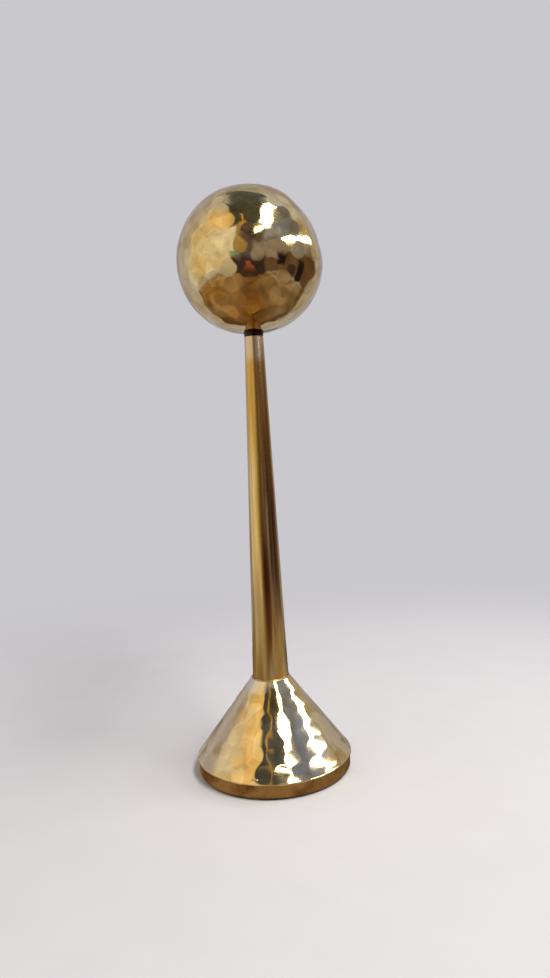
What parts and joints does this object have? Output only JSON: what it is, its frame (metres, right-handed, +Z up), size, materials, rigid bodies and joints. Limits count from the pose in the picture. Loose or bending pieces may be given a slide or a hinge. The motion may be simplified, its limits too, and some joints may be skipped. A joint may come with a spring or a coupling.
{
  "type": "candlestick",
  "caption": "Tall brass candlestick: a hammered hollow ball with a candle cup in its top, on a slim tapered stem and a hammered cone foot with a plain band.",
  "frame": {"origin": "centre of the felt's resting face, on the table", "axes": "+Z up along the stem's axis; the candlestick is round about it"},
  "size_m": [0.0598, 0.0598, 0.2191],
  "materials": {
    "hammered_brass": "hand hammered and polished",
    "stem_brass": "polished, lightly toned",
    "band_brass": "turned and brushed, toned",
    "inner_brass": "as machined, dull",
    "dark_collar": "oxidised nearly black",
    "steel": "zinc plated",
    "felt": "thin wool felt"
  },
  "bodies": {
    "root": {"ball_upper_shell": "hammered_brass", "ball_lower_shell": "hammered_brass", "ball_lining_ring": "inner_brass", "candle_cup": "stem_brass", "cup_floor": "inner_brass", "ball_boss": "inner_brass", "seat_collar": "dark_collar", "stem_stud": "inner_brass", "stem_tube": "stem_brass", "stem_foot_plug": "inner_brass", "base_cone": "hammered_brass", "base_disc": "band_brass", "screw_washer": "steel", "base_screw": "steel", "felt_pad": "felt"}
  },
  "joints": []
}
